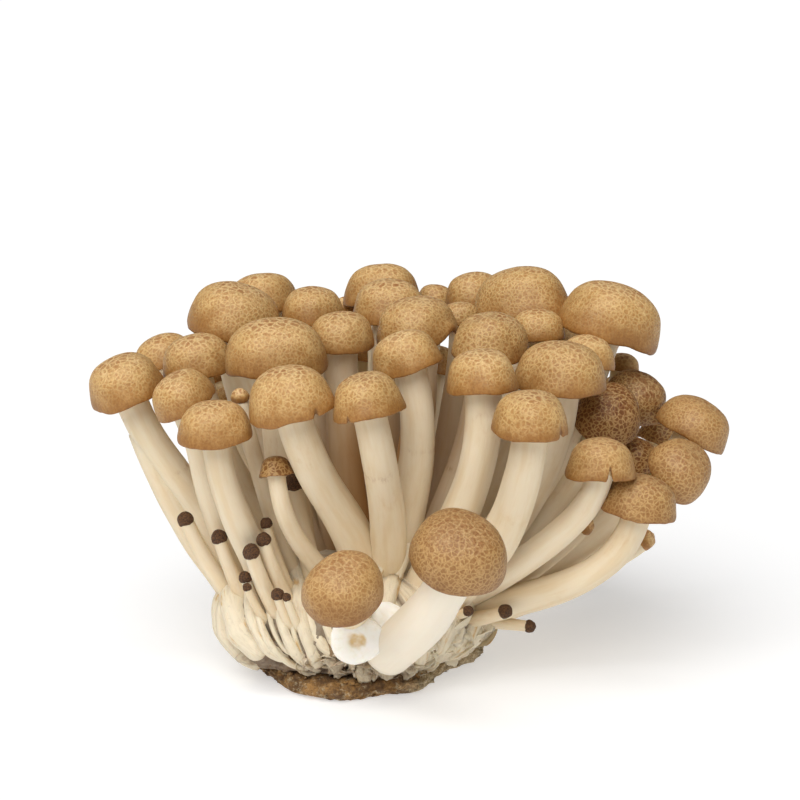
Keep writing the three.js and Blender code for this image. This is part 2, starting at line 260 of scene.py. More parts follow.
def makeCapSkin():
    material, tree, shader = newMaterial("cap_skin")
    place = inMillimetres(tree)
    crown = attribute(tree, "crown").outputs["Fac"]
    toneAndShade = attribute(tree, "toneAndShade").outputs["Fac"]
    scar = attribute(tree, "scar").outputs["Fac"]
    warp = noiseOf(tree, place, 0.9, 3).outputs["Color"]
    warp = addNode(tree, "VectorMath", {0: warp, 1: (0.5, 0.5, 0.5)}, operation="SUBTRACT").outputs[0]
    warp = addNode(tree, "VectorMath", {0: warp, "Scale": capLook["wander"]}, operation="SCALE").outputs[0]
    warped = addNode(tree, "VectorMath", {0: place, 1: warp}, operation="ADD").outputs[0]
    patches = noiseOf(tree, place, 0.2, 3).outputs["Fac"]
    grain = noiseOf(tree, place, 2.4, 4, 0.65).outputs["Fac"]
    wander = maths(tree, "ADD", crown, ranged(tree, patches, 0.3, 0.7, -0.08, 0.08))
    # flat brown cells in a pale net at the crown, finer and fainter down the dome, plain and darker at the
    # margin, where the darkness is partly the cap's own colour and partly painted shade of its lower side
    coarse = ranged(tree, cellsOf(tree, warped, capLook["crownCells"]).outputs["Distance"], 0.0, 0.21)
    fine = ranged(tree, cellsOf(tree, warped, capLook["domeCells"]).outputs["Distance"], 0.0, 0.28)
    each = cellsOf(tree, warped, capLook["crownCells"], "F1").outputs["Color"]
    cells = maths(tree, "MULTIPLY", coarse, ranged(tree, each, 0.1, 0.9, 0.65, 1.0))
    crownColour = mixed(tree, cells, capLook["crownNet"], capLook["crownCell"])
    domeColour = mixed(tree, fine, capLook["domeNet"], capLook["domeCell"])
    colour = mixed(tree, ranged(tree, wander, 0.12, 0.5), crownColour, domeColour)
    streak = noiseOf(tree, stretched(tree, warped, 0.22), 1.6, 3).outputs["Fac"]
    margin = multiplied(tree, capLook["margin"], capLook["faint"])
    margin = mixed(tree, ranged(tree, streak, 0.35, 0.65), margin, capLook["margin"])
    colour = mixed(tree, attribute(tree, "soft").outputs["Fac"], colour, capLook["blurred"])
    plainFrom = maths(tree, "ADD", wander, maths(tree, "MULTIPLY", toneAndShade, -0.4))
    colour = mixed(tree, ranged(tree, plainFrom, 0.28, 0.8), colour, margin)
    speck = multiplied(tree, colour, capLook["speck"])
    colour = mixed(tree, ranged(tree, grain, 0.36, 0.6, 0.5, 0.0), colour, speck)
    colour = mixed(tree, ranged(tree, crown, 0.955, 0.99), colour, capLook["rimLine"])
    # darker tone and painted shade together: a cap's darkness darkens its whole skin
    toneAndShadeShare = maths(tree, "MULTIPLY", toneAndShade, ranged(tree, fine, 0.0, 0.7, 0.6, 1.0))
    colour = mixed(tree, toneAndShadeShare, colour, multiplied(tree, colour, capLook["dark"]))
    colour = mixed(tree, scar, colour, capLook["scar"])
    tree.links.new(colour, shader.inputs["Base Color"])
    low, high = capLook["roughness"] - 0.06, capLook["roughness"] + 0.12
    tree.links.new(ranged(tree, grain, 0.3, 0.7, low, high), shader.inputs["Roughness"])
    fleshy(shader, 0.08, 0.0015, (1.0, 0.45, 0.2))
    shader.inputs["Specular IOR Level"].default_value = 0.35
    netShare = ranged(tree, wander, 0.3, 0.9, 1.0, 0.0)
    netLift = maths(tree, "MULTIPLY", netShare, maths(tree, "SUBTRACT", 1.0, fine))
    relief = maths(tree, "ADD", netLift, maths(tree, "MULTIPLY", grain, 0.9))
    bumped(tree, shader, relief, 0.3, 0.00025)
    return material


gillLook = {"flesh": sRgb(226, 204, 166), "stain": sRgb(196, 164, 118)}


def makeGills():
    material, tree, shader = newMaterial("gills")
    place = inMillimetres(tree)
    stain = noiseOf(tree, place, 0.5, 3).outputs["Fac"]
    colour = mixed(tree, ranged(tree, stain, 0.35, 0.7), gillLook["flesh"], gillLook["stain"])
    painted(tree, shader, colour, 0.7)
    fleshy(shader, 0.2, 0.002, (1.0, 0.5, 0.25))
    return material


stemLook = {
    "cream": sRgb(232, 216, 187),
    "streak": sRgb(222, 198, 158),
    "ochre": sRgb(206, 170, 114),
    "crease": sRgb(176, 132, 92),
    # painted shade: the warm dark brown that stems deep in the cluster are multiplied by
    "innerShade": (0.56, 0.36, 0.19, 1),
    "pale": sRgb(246, 238, 222),
    "roughness": 0.55,
}


def makeStemSkin():
    material, tree, shader = newMaterial("stem_skin")
    place = inMillimetres(tree)
    grain = attribute(tree, "grain").outputs["Vector"]
    crease = attribute(tree, "crease").outputs["Fac"]
    innerShade = attribute(tree, "innerShade").outputs["Fac"]
    pale = attribute(tree, "pale").outputs["Fac"]
    long = stretched(tree, grain, 0.12)
    short = stretched(tree, grain, 0.4)
    streak = noiseOf(tree, long, 0.5, 3, 0.5).outputs["Fac"]
    fibre = noiseOf(tree, long, 3.2, 3, 0.6).outputs["Fac"]
    patch = noiseOf(tree, place, 0.07, 3, 0.5).outputs["Fac"]
    fleck = noiseOf(tree, short, 0.9, 4, 0.7).outputs["Fac"]
    colour = mixed(tree, ranged(tree, streak, 0.4, 0.7, 0.0, 0.6), stemLook["cream"], stemLook["streak"])
    colour = mixed(tree, ranged(tree, fibre, 0.4, 0.8, 0.0, 0.22), colour, stemLook["streak"])
    stained = ranged(tree, patch, 0.48, 0.66)
    stains = maths(tree, "MULTIPLY", stained, ranged(tree, fleck, 0.45, 0.75, 0.1, 0.4))
    colour = mixed(tree, stains, colour, stemLook["ochre"])
    creased = maths(tree, "MULTIPLY", crease, ranged(tree, fleck, 0.4, 0.7, 0.0, 0.7))
    colour = mixed(tree, creased, colour, stemLook["crease"])
    # painted shade: stems deep in the cluster turn darker and warmer
    colour = mixed(tree, innerShade, colour, multiplied(tree, colour, stemLook["innerShade"]))
    colour = mixed(tree, pale, colour, stemLook["pale"])
    painted(tree, shader, colour, stemLook["roughness"])
    fleshy(shader, 0.12, 0.002)
    shader.inputs["Specular IOR Level"].default_value = 0.3
    relief = maths(tree, "ADD", maths(tree, "MULTIPLY", streak, 0.8), maths(tree, "MULTIPLY", fibre, 0.35))
    bumped(tree, shader, relief, 0.3, 0.0004)
    return material


clumpLook = {
    "white": sRgb(230, 217, 190),
    "ochre": sRgb(204, 162, 94),
    "mauve": sRgb(168, 143, 118),
    # the colour of the dark specks, and of the painted shade in pits and folds
    "deep": sRgb(84, 58, 36),
}


def makeClumpSkin(name, greyness, depth):
    # greyness lays the grey of dried skin over the cream, and depth sets how dark the painted shade in pits
    # and folds is;
    # the attributes are 1 where the skin lies low at the front, in the painted shade of pits, folds and
    # gaps between strands, and at the pale right side
    material, tree, shader = newMaterial(name)
    place = inMillimetres(tree)
    low = attribute(tree, "low").outputs["Fac"]
    pitShade = attribute(tree, "pitShade").outputs["Fac"]
    grain = attribute(tree, "grain").outputs["Vector"]
    fair = attribute(tree, "fair").outputs["Fac"]
    fibre = noiseOf(tree, stretched(tree, grain, 0.2), 1.3, 4, 0.65).outputs["Fac"]
    patch = noiseOf(tree, stretched(tree, grain, 0.3), 0.42, 4, 0.65).outputs["Fac"]
    mottle = noiseOf(tree, place, 0.6, 5, 0.7).outputs["Fac"]
    colour = mixed(tree, ranged(tree, patch, 0.54, 0.68, 0.0, 0.8), clumpLook["white"], clumpLook["ochre"])
    colour = mixed(tree, ranged(tree, fibre, 0.45, 0.75, 0.0, 0.3), colour, clumpLook["mauve"])
    grey = maths(tree, "MAXIMUM", low, greyness)
    grey = maths(tree, "MULTIPLY", grey, maths(tree, "SUBTRACT", 1.0, fair))
    greyShare = maths(tree, "MULTIPLY", grey, ranged(tree, mottle, 0.35, 0.6, 1.0, 0.25))
    colour = mixed(tree, greyShare, colour, clumpLook["mauve"])
    speck = ranged(tree, mottle, 0.28, 0.42, 0.7, 0.0)
    speck = maths(tree, "MULTIPLY", speck, maths(tree, "MAXIMUM", grey, 0.3))
    colour = mixed(tree, speck, colour, clumpLook["deep"])
    # painted shade in pits, fold valleys and gaps between strands
    colour = mixed(tree, maths(tree, "MULTIPLY", pitShade, depth), colour, clumpLook["deep"])
    painted(tree, shader, colour, 0.7)
    fleshy(shader, 0.1, 0.0015)
    bumped(tree, shader, maths(tree, "ADD", mottle, fibre), 0.6, 0.0005)
    return material


crustLook = {
    "rust": sRgb(180, 136, 80),
    "dark": sRgb(110, 80, 50),
    "pale": sRgb(222, 204, 166),
}


def makeCrustSkin():
    material, tree, shader = newMaterial("crust_skin")
    place = inMillimetres(tree)
    patch = noiseOf(tree, place, 0.3, 4, 0.7).outputs["Fac"]
    grain = noiseOf(tree, place, 1.6, 5, 0.75).outputs["Fac"]
    pale = noiseOf(tree, place, 0.55, 5, 0.75).outputs["Fac"]
    colour = mixed(tree, ranged(tree, patch, 0.38, 0.6), crustLook["dark"], crustLook["rust"])
    colour = mixed(tree, ranged(tree, pale, 0.52, 0.66, 0.0, 0.85), colour, crustLook["pale"])
    colour = mixed(tree, ranged(tree, grain, 0.34, 0.54, 0.85, 0.0), colour, crustLook["dark"])
    faded = attribute(tree, "faded").outputs["Fac"]
    faded = maths(tree, "MULTIPLY", faded, ranged(tree, grain, 0.4, 0.6, 0.3, 0.9))
    colour = mixed(tree, faded, colour, crustLook["pale"])
    painted(tree, shader, colour, 0.9)
    bumped(tree, shader, maths(tree, "ADD", grain, pale), 0.8, 0.0006)
    return material


pinLook = {"dark": sRgb(54, 33, 16), "light": sRgb(118, 78, 40)}


def makePinSkin():
    material, tree, shader = newMaterial("pin_cap_skin")
    place = inMillimetres(tree)
    grain = noiseOf(tree, place, 3.2, 4, 0.7).outputs["Fac"]
    colour = mixed(tree, ranged(tree, grain, 0.35, 0.7), pinLook["dark"], pinLook["light"])
    painted(tree, shader, colour, 0.75)
    bumped(tree, shader, grain, 0.8, 0.0004)
    return material


cutLook = {"flesh": sRgb(255, 250, 240), "cloud": sRgb(242, 230, 206), "hollow": sRgb(222, 188, 124)}


def makeCutFace():
    material, tree, shader = newMaterial("cut_face")
    place = inMillimetres(tree)
    hollow = attribute(tree, "hollow").outputs["Fac"]
    mottle = noiseOf(tree, place, 0.6, 4, 0.6).outputs["Fac"]
    cloudy = ranged(tree, mottle, 0.45, 0.75, 0.0, 0.5)
    colour = mixed(tree, cloudy, cutLook["flesh"], cutLook["cloud"])
    hollow = maths(tree, "MULTIPLY", hollow, ranged(tree, mottle, 0.3, 0.6, 0.5, 1.0))
    colour = mixed(tree, hollow, colour, cutLook["hollow"])
    painted(tree, shader, colour, 0.5)
    fleshy(shader, 0.25, 0.003, (1.0, 0.6, 0.35))
    bumped(tree, shader, mottle, 0.3, 0.0004)
    return material


def makeFloor():
    material, _, shader = newMaterial("studio_floor")
    shader.inputs["Base Color"].default_value = studio["floorColour"]
    shader.inputs["Emission Color"].default_value = (1, 1, 1, 1)
    shader.inputs["Emission Strength"].default_value = studio["floorGlow"]
    shader.inputs["Roughness"].default_value = 0.8
    shader.inputs["Specular IOR Level"].default_value = 0.2
    return material


print("materials")
capSkin = makeCapSkin()
gillSkin = makeGills()
stemSkin = makeStemSkin()
clumpSkin = makeClumpSkin("clump_skin", 0.12, 0.95)
strandSkin = makeClumpSkin("strand_skin", 0.0, 0.0)
driedSkin = makeClumpSkin("dried_skin", 0.8, 0.0)
crustSkin = makeCrustSkin()
pinSkin = makePinSkin()
cutFace = makeCutFace()

floorShape = bmesh.new()
bmesh.ops.create_grid(floorShape, x_segments=1, y_segments=1, size=6)
floorMesh = asMesh(floorShape)
floorMesh.materials.append(makeFloor())
floor = bpy.data.objects.new("studio_floor", floorMesh)
bpy.context.scene.collection.objects.link(floor)


# the mushrooms: middle of the cap, the way it faces, its radius, the stem's radius,
# and where given the stem's foot, the way that it leaves the clump and the share of its length
# over which it turns to meet its cap

mushrooms = [
    [(-53, -8, 65.9), (-0.3, -0.1, 1), 8.8, 3.4, (-23, -7), (-0.5, 0, 1.6)],
    [(-46.5, 14, 67.3), (-0.3, 0.1, 1), 7, 3],
    [(-38, -1.5, 69.8), (-0.15, -0.05, 1), 7.8, 3.2],
    [(-40, -19, 65), (-0.55, -0.1, 1), 7.2, 2.8, (-21, -9), (-0.75, -0.3, 1), 0.1],
    [(-31.6, -32, 61.7), (-0.05, -0.08, 1), 7.5, 3, (-21, -14), (0, -0.35, 1)],
    [(-30, 13.5, 77.1), (0.2, 0, 1), 10.7, 4, (-9, 4), None, 0.1],
    [(-25.3, 32, 77.4), (-0.1, 0.15, 1), 9, 3.8],
    [(-20, -13, 74.1), (-0.05, -0.05, 1), 10.4, 3.8, (-14, -8)],
    [(-13, 15, 77.8), (0, 0.05, 1), 7.4, 3.4],
    [(-6, -2, 75.1), (0.05, -0.05, 1), 7.1, 3.4],
    [(-16.3, -35, 68.5), (-0.2, -0.08, 1), 9, 3.7, (-1, -12), (1, 0, 9)],
    [(-0.5, -37, 68.4), (-0.18, 0, 1), 7.9, 3.5, (1, -11), (1, 0, 4)],
    [(2.3, 40, 78.4), (-0.05, 0.1, 1), 8.8, 3.8],
    [(4, 21, 77.8), (0, 0, 1), 8.6, 3.6],
    [(10, 3, 76.6), (-0.1, -0.05, 1), 9, 3.6],
    [(7.3, -20, 74), (-0.3, -0.02, 1), 7.4, 3.5],
    [(15, 47, 74.5), (0.1, 0.15, 1), 4.8, 2.4],
    [(23.6, 38, 77.8), (-0.1, 0, 1), 6.7, 3],
    [(33.8, 24, 78.8), (-0.12, 0.2, 1), 11.2, 4.2],
    [(26, -6, 74.8), (0.1, -0.05, 1), 8.7, 3.8],
    [(36.9, 8, 74.6), (0, 0, 1), 6, 3],
    [(23.3, -28, 71.5), (-0.08, 0.02, 1), 7.8, 3.7, (7, -10)],
    [(20, 17, 75.5), (0, 0, 1), 4.5, 2.4],
    [(40.6, -15, 69.8), (0.03, 0.05, 1), 9.7, 3.8],
    [(47.3, -0.3, 69.9), (0.1, 0.1, 1), 6.7, 3],
    [(54.1, 13, 76.7), (0.34, 0, 1), 11.4, 3.6],
    [(58, 27, 62.2), (0.2, 0.1, 1), 3.9, 2.4],
    [(52, -6.5, 58.6), (0.25, -0.75, 1), 7.6, 3.2],
    [(60, 12, 58.2), (0.35, -0.7, 1), 7, 3],
    [(33, -39, 64.9), (0.03, 0, 1), 8.2, 3.9, (11, -11)],
    [(48.3, -28, 53), (0.05, 0, 1), 7.3, 2.9, (9, -10), None, 0.22],
    [(72.2, 3, 54.3), (0.5, 0, 1), 8.2, 3.2],
    [(67.8, -12, 47.2), (0.8, -0.7, 0.9), 7.5, 3],
    [(57, -25, 44.2), (0.18, 0, 1), 7.8, 3.05, (11, -10)],
    [(58.5, 2, 47), (0.2, -0.2, 1), 5.4, 2.6],
    [(-5, -55.5, 34), (-0.12, -0.64, 0.9), 8.1, 3.8, (-3, -20), (0, -0.55, 0.83), 0.15],
    [(18.4, -57.5, 42.1), (0.15, -0.68, 0.88), 9.4, 4.4, (4, -30)],
    [(-19.3, -30, 51.5), (-0.12, 0.25, 1), 3.9, 2, (-1, -12), (-3, 0, 5)],
    [(-41, 31, 59), (-0.3, 0.3, 1), 8, 3.2],
    [(-24, 47, 64), (-0.2, 0.35, 1), 8.5, 3.6],
    [(-5, 52, 60.5), (0, 0.4, 1), 8.4, 3.9],
    [(14, 56, 56.5), (0.1, 0.45, 1), 8, 3.8],
    [(29.5, 50, 65), (0.15, 0.3, 1), 8.5, 4],
    [(47, 35, 65), (0.25, 0.25, 1), 8.8, 3.6],
    [(60, 40, 52), (0.35, 0.3, 1), 7.4, 3.2],
    [(68, 25, 46), (0.5, 0.2, 1), 6.8, 3],
    [(-34, 45, 50), (-0.3, 0.5, 1), 7.4, 3.2],
    [(-4, 60, 49), (-0.05, 0.6, 1), 7.4, 3.6],
    [(19, 61, 42), (0.15, 0.6, 1), 7.4, 3.6],
    [(42, 50, 45), (0.35, 0.5, 1), 7.4, 3],
]

cap = {
    # from the top over the dome, round the rim and under it to the stem, in radii of the cap
    "outline": [(0, 1.06), (0.26, 1.035), (0.5, 0.965), (0.7, 0.85), (0.87, 0.66), (0.965, 0.41),
                (1.0, 0.19), (1.002, 0.06), (0.985, -0.005), (0.945, -0.02), (0.895, 0.03), (0.83, 0.1),
                (0.6, 0.18), (0.4, 0.22), (0.2, 0.26), (0, 0.27)],
    "rimPoint": 9,  # the outline's lowest point
    "stepsPerPoint": 3,
    "sides": 128,
    "rise": 1.06,
    "gillDepth": 0.045,
    "lumps": 0.03,
    "lumpScale": 1.3,
    "dentScale": 3.1,
    "slim": 0.045,
    "rimWave": 0.5,
    "rimWobble": 0.02,
    "shades": (-0.02, 0.1),
}
# single caps that differ, by their number: how dark they are, and how much of their radius they lose
# half way up the dome; the darkness is partly a cap's own darker tone and partly painted shade, the most on
# 28 and 35, which sit in shade
darkness = {12: 0.12, 15: 0.14, 17: 0.25, 19: 0.12, 20: 0.25, 23: 0.25, 24: 0.18, 28: 0.92, 29: 0.7,
            31: 0.18, 32: 0.4, 33: 0.5, 34: 0.5, 35: 0.95, 36: 0.34, 37: 0.56, 38: 0.8, 46: 0.8}
slimmer = {6: 0.02, 8: 0, 12: 0.1, 16: 0.07, 19: 0.05, 22: 0.06, 26: 0.02, 31: 0.08, 32: 0.02, 33: 0.02,
           36: 0, 37: 0, 38: 0.14}
softer = {36: 0.38, 37: 0.4, 31: 0.25, 32: 0.45, 33: 0.35, 34: 0.35, 5: 0.15}  # how faint the net is
crownShift = {36: 0.34, 37: 0.1}  # how far the pattern's middle lies behind the middle of the cap
lumpier = {20: 0.085, 15: 0.05, 36: 0.05, 29: 0.06}
# rims that are torn or curl up: angle about the cap's axis, half width in radians, lift and inset in radii
rimMarks = {
    31: [(-1.35, 0.065, 0.36, 0.1)],
    15: [(-0.5, 0.3, 0.2, -0.06)],
    29: [(-0.62, 0.28, 0.16, -0.2)],
    11: [(-0.95, 0.05, 0.1, 0.04)],
    12: [(-2.1, 0.05, 0.07, 0.03)],
    30: [(-0.75, 0.07, 0.12, 0.05)],
}


def capSwell(angle, number):
    return 1 + 0.045 * math.cos(2 * angle + 2.4 * number) + 0.025 * math.cos(3 * angle + 4.1 * number)


def rimWave(angle, number):
    return 0.07 * math.cos(2 * angle + 1.3 * number) + 0.03 * math.cos(5 * angle + 0.7 * number)


def capFrame(mushroom):
    axis = Vector(mushroom[1]).normalized()
    rim = Vector(mushroom[0]) - axis * cap["rise"] * mushroom[2] / 2
    turn = Vector((0, 0, 1)).rotation_difference(axis)
    return axis, rim, turn


def makeCap(number, mushroom):
    _, rim, turn = capFrame(mushroom)
    radius = mushroom[2]
    outline = throughPoints(cap["outline"], cap["stepsPerPoint"])
    bm = turned(outline, cap["sides"])
    ring = bm.verts.layers.float["ring"]
    crown = bm.verts.layers.float.new("crown")
    toneAndShade = bm.verts.layers.float.new("toneAndShade")
    scar = bm.verts.layers.float.new("scar")
    soft = bm.verts.layers.float.new("soft")
    rimRing = cap["rimPoint"] / (len(cap["outline"]) - 1)
    seed = Vector((number * 7.3, number * 3.1, number * 5.7))
    lumps = lumpier.get(number, cap["lumps"])
    shade = darkness.get(number, draw.uniform(*cap["shades"]))
    marks = rimMarks.get(number, [])
    for v in bm.verts:
        under = v[ring] > rimRing
        angle, reach = polar(v.co)
        height = v.co.z
        pattern = v[ring] / rimRing
        shift = crownShift.get(number, 0) * math.sin(angle) * smooth(0, 0.6, reach)
        v[crown] = min(1, pattern - shift * (1 - pattern))
        if under:
            side = round((angle / math.tau) * cap["sides"])
            v.co.z += (-1) ** side * cap["gillDepth"] * smooth(0.86, 0.76, reach) * smooth(0.12, 0.3, reach)
        halfWay = math.sin(math.pi * min(1, max(0, height / cap["rise"])))
        slim = slimmer.get(number, cap["slim"]) * halfWay
        v.co.x *= 1 - slim
        v.co.y *= 1 - slim
        rimShare = smooth(0.7, 0.0, height) * smooth(0.3, 0.85, reach)
        v.co.z += rimWave(angle, number) * cap["rimWave"] * rimShare
        spot = Vector((v.co.x, v.co.y, v.co.z - 0.3))
        push = lumps * noise.noise(spot * cap["lumpScale"] + seed)
        push += 0.3 * lumps * noise.noise(spot * cap["dentScale"] + seed)
        if under:
            push *= smooth(0.3, 0.9, reach)
        v.co += spot.normalized() * push
        v.co.z += rimShare * cap["rimWobble"] * noise.noise(outward(angle) * 4 + seed)
        mark = 0
        for markAngle, width, lift, inset in marks:
            off = (angle - markAngle + math.pi) % math.tau - math.pi
            near = math.exp(-(off / width) ** 2) * smooth(0.55, 0.05, height) * smooth(0.55, 0.9, reach)
            v.co.z += lift * near
            v.co.x *= 1 - inset * near
            v.co.y *= 1 - inset * near
            if width < 0.12:
                mark = max(mark, near * smooth(0.25, 0.02, height))
        swell = capSwell(angle, number)
        v.co.x *= swell
        v.co.y *= swell
        v[scar] = smooth(0.3, 0.8, mark) * 0.7
        v[toneAndShade] = shade
        v[soft] = softer.get(number, 0)
        v.co = rim + turn @ (v.co * radius)
    for face in bm.faces:
        face.material_index = 1 if min(v[ring] for v in face.verts) >= rimRing + 0.05 else 0
    finishPiece("mushroom_cap_%02d" % number, bm, [capSkin, gillSkin], "cap_%02d" % number)


print("caps")
for number, mushroom in enumerate(mushrooms, 1):
    makeCap(number, mushroom)


# stems

stem = {
    "sides": 28,
    "stepLength": 1.1,
    "rootHeight": 11,
    "rootShare": 0.3,
    "lift": 0.7,
    "leave": 0.38,
    "arrive": 0.36,
    "neck": 0.14,
    "intoCap": 0.2,
    "wander": 0.55,
    "grooves": 0.02,
    "swelling": 0.05,
}


def bezier(p0, p1, p2, p3, t):
    s = 1 - t
    return p0 * s ** 3 + p1 * 3 * s * s * t + p2 * 3 * s * t * t + p3 * t ** 3


def stemLine(mushroom):
    radius = mushroom[2]
    axis, rim, _ = capFrame(mushroom)
    neck = rim + axis * (stem["neck"] * radius)
    x, y = mushroom[4] if len(mushroom) > 4 else (rim.x * stem["rootShare"], rim.y * stem["rootShare"])
    root = Vector((x, y, stem["rootHeight"]))
    away = neck - root
    length = away.length
    away.z *= stem["lift"]
    leaves = Vector(mushroom[5]) if len(mushroom) > 5 and mushroom[5] else away
    first = root + leaves.normalized() * stem["leave"] * length
    arrive = mushroom[6] if len(mushroom) > 6 else stem["arrive"]
    second = neck - axis * arrive * length
    count = max(12, round(length / stem["stepLength"]))
    top = neck + axis * stem["intoCap"] * radius
    return [bezier(root, first, second, neck, i / count) for i in range(count + 1)] + [top]


def markInnerShade(mesh, paleness):
    # the pale mark is how much whiter the whole mesh is; the inner mark is painted shade, 1 deep between
    # the stems, where no light comes, and 0 at the cluster's outside
    pale = mesh.attributes.new("pale", "FLOAT", "POINT")
    pale.data.foreach_set("value", [paleness] * len(mesh.vertices))
    innerShade = mesh.attributes.new("innerShade", "FLOAT", "POINT")
    for i, v in enumerate(mesh.vertices):
        x, y, z = v.co
        up = min(z, 62) - 11  # the cluster widens with its height and leans to the right
        share = math.hypot((x + 2.8 - 0.2 * up) / (24 + 0.75 * up), (y - 2) / (24 + 0.65 * up))
        innerShade.data[i].value = smooth(0.5, 0.14, share) * smooth(8, 20, z) * smooth(80, 45, z)
    return mesh


def bentTube(centres, radiusAt, sides, seed=0.0, grooves=0.0, pointed=0.0, creases=(), flat=1.0):
    # a tube along the centres; radiusAt gives its radius from foot (0) to tip (1);
    # creases are (place from foot to tip, angle about the tube) and flat squeezes it one way
    rows = len(centres)
    outline = [(0, 0)] + [(1, i) for i in range(rows)] + [(0, rows)]
    bm = turned(outline, sides)
    grain = bm.verts.layers.float_vector.new("grain")
    crease = bm.verts.layers.float.new("crease")
    tangents = [(centres[min(i + 1, rows - 1)] - centres[max(i - 1, 0)]).normalized() for i in range(rows)]
    side = tangents[0].orthogonal().normalized()
    frames = []
    along = [0.0]
    for i in range(rows):
        side = (side - tangents[i] * side.dot(tangents[i])).normalized()
        frames.append((side.copy(), tangents[i].cross(side)))
        if i:
            along.append(along[-1] + (centres[i] - centres[i - 1]).length)
    offset = Vector((seed * 3.7, seed * 5.1, seed * 11.3))
    for v in bm.verts:
        angle, reach = polar(v.co)
        row = min(rows - 1, round(v.co.z))
        way = outward(angle)
        radius = radiusAt(row / (rows - 1), angle)
        if grooves:
            coarse = noise.noise(way * 2.6 + Vector((0, 0, along[row] * 0.03)) + offset)
            fine = noise.noise(way * 5.5 + Vector((0, 0, along[row] * 0.05)) + offset)
            radius *= 1 + grooves * (coarse + 0.6 * fine)
        normal, binormal = frames[row]
        v[grain] = Vector((way.x * radius, way.y * radius, along[row])) + offset
        for place, creaseAngle in creases:
            off = along[row] - place * along[-1] - 0.8 * math.cos(angle - creaseAngle)
            near = math.exp(-(off / 0.35) ** 2) * smooth(0.1, 0.9, math.cos(angle - creaseAngle))
            v[crease] = max(v[crease], near)
            radius -= 0.12 * near
        beyond = pointed if v.co.z > rows - 0.5 else 0
        across = normal * way.x + binormal * way.y * flat
        v.co = centres[row] + across * radius * reach + tangents[row] * beyond
    bmesh.ops.recalc_face_normals(bm, faces=bm.faces)
    return asMesh(bm)


stemCreases = {1: [(0.62, -1.2), (0.45, 0.2)], 16: [(0.68, -2.0)]}
bleached = {37: 0.75, 31: 0.15}  # stems whiter than the others


def makeStem(number, mushroom):
    centres = stemLine(mushroom)
    neckRadius = mushroom[3]
    seed = number * 1.7
    last = len(centres) - 1
    for i, centre in enumerate(centres):
        t = i / last
        sway = stem["wander"] * math.sin(math.pi * t)
        spot = Vector((0, seed, t * 3))
        centre.x += sway * noise.noise(spot)
        centre.y += sway * noise.noise(spot + Vector((9, 0, 0)))
    turn = draw.uniform(0, math.pi)
    oval = draw.uniform(0.02, 0.09)

    def radiusAt(t, angle):
        base = neckRadius * (1.16 - 0.16 * t + 0.06 * math.sin(math.pi * min(1, 1.5 * t)))
        uneven = stem["swelling"] * noise.noise(Vector((seed, 0, t * 4)))
        base *= 1 + uneven + oval * math.cos(2 * (angle - turn))
        return base * (1 + 0.14 * smooth(0.93, 1.0, t))

    creases = []
    for i in range(draw.choice((0, 0, 1))):  # one stem in three has a crease
        creases.append((draw.uniform(0.45, 0.9), draw.uniform(-math.pi, math.pi)))
    creases += stemCreases.get(number, [])
    tube = bentTube(centres, radiusAt, stem["sides"], seed, stem["grooves"], creases=creases)
    return markInnerShade(tube, bleached.get(number, 0))


# a second stalk that grew together with the one at the far left
twin = {"at": (-49.8, -6.8, 53.5), "radius": 3.2, "foot": (-24, -6.5, 11), "rows": 44, "seed": 97}


def pinLine(at, foot, rows):
    at, foot = Vector(at), Vector(foot)
    way = at - foot
    bend = foot + way * 0.5 + Vector((way.x, way.y, -way.z / 2)) * 0.15
    line = []
    for i in range(rows + 1):
        t = i / rows
        line.append(foot * (1 - t) ** 2 + bend * 2 * t * (1 - t) + at * t * t)
    return line


def makeTwin():
    def radiusAt(t, angle):
        return twin["radius"] * (1.2 - 0.4 * t + 0.08 * noise.noise(Vector((0, 5, t * 5))))

    line = pinLine(twin["at"], twin["foot"], twin["rows"])
    return bentTube(line, radiusAt, stem["sides"], twin["seed"], stem["grooves"], 1.0)


print("stems")
stems = [makeStem(number, mushroom) for number, mushroom in enumerate(mushrooms, 1)]
stems.append(makeTwin())
finishPiece("stems", joined(stems), [stemSkin], "stems_and_clump")


# clump that the stems grow from

clump = {
    "centre": (-2.8, -2),
    "reach": (26, 25.5),
    "bottom": 4.1,
    "height": 20,
    "outline": [(0, 0), (0.5, 0), (0.86, 0), (0.97, 0.08), (1.04, 0.2), (1.12, 0.34), (1.14, 0.48),
                (1.14, 0.62), (1.08, 0.76), (0.92, 0.88), (0.7, 0.95), (0.35, 0.99), (0, 1)],
    "stepsPerPoint": 5,
    "sides": 280,
    "folds": 1.1,
    "wrinkles": 1.3,
    "knobs": 1.4,
    "grain": 0.35,
}


def clumpLean(angle):
    return 1 + 0.05 * math.cos(3 * angle + 1) + 0.03 * math.cos(5 * angle)


def clumpSide(angle, z, proud=0.0):
    # the point on the clump's side at an angle and a height, moved out by proud
    share = (z - clump["bottom"]) / clump["height"]
    side = clump["outline"][2:-2]
    reach = side[-1][0]
    for (r0, h0), (r1, h1) in zip(side, side[1:]):
        if share <= h1:
            reach = r0 + (r1 - r0) * max(0, share - h0) / (h1 - h0)
            break
    reach *= clumpLean(angle)
    x = clump["centre"][0] + math.cos(angle) * (clump["reach"][0] * reach + proud)
    y = clump["centre"][1] + math.sin(angle) * (clump["reach"][1] * reach + proud)
    return Vector((x, y, z))


def frontShare(angle):
    # 1 in the middle of the front, where the skin is grey and crumpled
    off = (angle + 1.75 + math.pi) % math.tau - math.pi
    return smooth(1.0, 0.45, abs(off))


